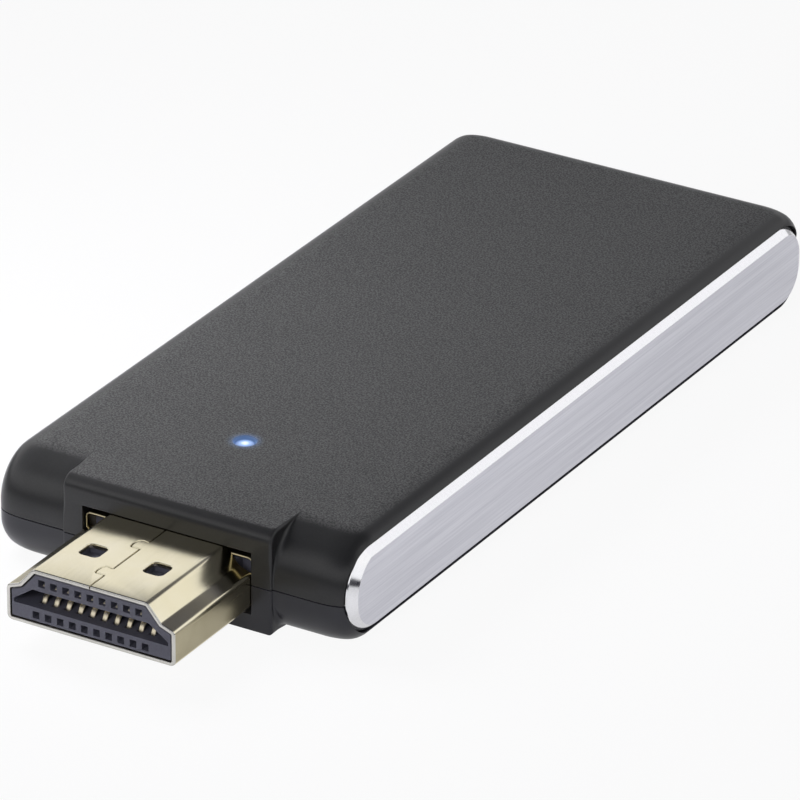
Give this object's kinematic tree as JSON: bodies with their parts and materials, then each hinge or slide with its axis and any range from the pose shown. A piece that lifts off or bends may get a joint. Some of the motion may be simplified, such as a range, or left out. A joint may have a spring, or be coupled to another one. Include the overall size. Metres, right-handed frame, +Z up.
{
  "type": "streaming media stick",
  "caption": "Slim rounded plastic media stick with a brushed metal side trim, a gold HDMI plug in a square nose block, a status light, and a power socket and button in its tail.",
  "frame": {"origin": "middle of the outline's box on the surface that the stick lies on", "axes": "+Y from the plug to the tail, +Z up through the face with the status light, +X to the right seen from the plug end looking along +Y"},
  "size_m": [0.0298, 0.0768, 0.0083],
  "materials": {
    "case_top": "soft-touch matte, fine speckle",
    "case_bottom": "fine matte",
    "trim_metal": "brushed lengthwise, bright bevels",
    "tape": "acrylic foam tape",
    "clear_pipe": "clear moulded light pipe",
    "plug_gold": "pale gold plate",
    "frame_gold": "pale gold plate, drawn",
    "plug_nylon": "blue-grey moulded nylon",
    "contact_gold": "gold flash",
    "board_green": "solder mask on glass laminate",
    "chip_black": "moulded epoxy",
    "ferrite": "shielded ferrite",
    "ceramic_cap": "multilayer ceramic",
    "can_metal": "tinned steel can",
    "antenna_ceramic": "fired ceramic",
    "led": "blue lamp",
    "pad": "silicone pad",
    "spreader_metal": "plain sheet",
    "screw_steel": "zinc plated",
    "usb_steel": "nickel plated",
    "usb_plastic": "moulded",
    "button_plastic": "fine matte",
    "switch_metal": "stamped cover",
    "plunger_plastic": "moulded"
  },
  "bodies": {
    "stick": {"top_cover": "case_top", "bottom_cover": "case_bottom", "side_trim": "trim_metal", "trim_tape": "tape", "light_pipe": "clear_pipe", "plug_shell": "plug_gold", "plug_frame": "frame_gold", "plug_insulator": "plug_nylon", "upper_contacts": "contact_gold", "lower_contacts": "contact_gold", "main_board": "board_green", "processor": "chip_black", "memory_chips": "chip_black", "flash_chip": "chip_black", "voltage_regulators": "chip_black", "power_inductors": "ferrite", "capacitors": "ceramic_cap", "crystal": "can_metal", "wifi_chip": "chip_black", "wifi_shield": "can_metal", "antenna": "antenna_ceramic", "status_led": "led", "thermal_pad": "pad", "heat_spreader": "spreader_metal", "board_screws": "screw_steel", "usb_shell": "usb_steel", "usb_insulator": "usb_plastic", "usb_contacts": "contact_gold", "switch_body": "switch_metal"},
    "button": {"mode_button": "button_plastic", "switch_plunger": "plunger_plastic"}
  },
  "joints": [
    {"name": "mode_button_press", "type": "slide", "parent": "stick", "child": "button", "axis": [0, -1, 0], "range_m": [0, 0.00025], "stiffness_N_per_m": 6400}
  ]
}
